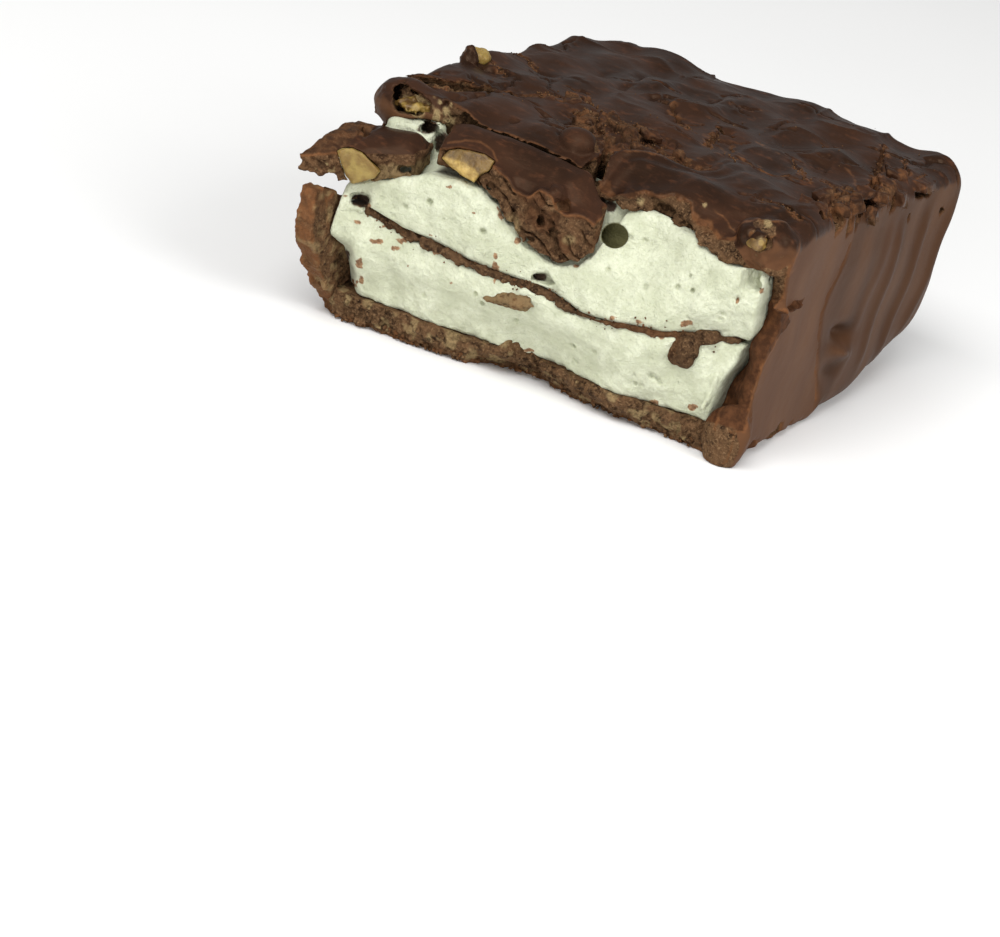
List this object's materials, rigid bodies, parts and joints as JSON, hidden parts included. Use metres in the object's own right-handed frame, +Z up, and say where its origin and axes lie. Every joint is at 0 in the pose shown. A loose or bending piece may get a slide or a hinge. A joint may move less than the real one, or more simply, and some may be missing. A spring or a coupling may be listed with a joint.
{
  "type": "chocolate covered marshmallow",
  "caption": "Snapped half of a chocolate coated marshmallow bar, with a chocolate layer between two marshmallow layers, nut pieces and a cracked, wavy top.",
  "frame": {"origin": "middle of the bounding box in plan, on the surface that the bar lies on", "axes": "+X to the right across the snapped face, +Y from the snapped face towards the whole end, +Z up out of the poured top"},
  "size_m": [0.042, 0.0524, 0.0224],
  "materials": {
    "chocolate_coating": "satin",
    "chocolate_broken": "matte",
    "marshmallow": "matte",
    "nut": "satin"
  },
  "bodies": {
    "root": {"chocolate_shell": "chocolate_coating", "marshmallow_lower": "marshmallow", "chocolate_middle_layer": "chocolate_broken", "marshmallow_upper": "marshmallow", "top_slab_left": "chocolate_coating", "top_slab_middle": "chocolate_coating", "chocolate_fragment": "chocolate_broken", "nut_front_left": "nut", "nut_front_middle": "nut", "nut_in_curl": "nut", "nut_front_right": "nut", "nut_top_left": "nut"}
  },
  "joints": []
}
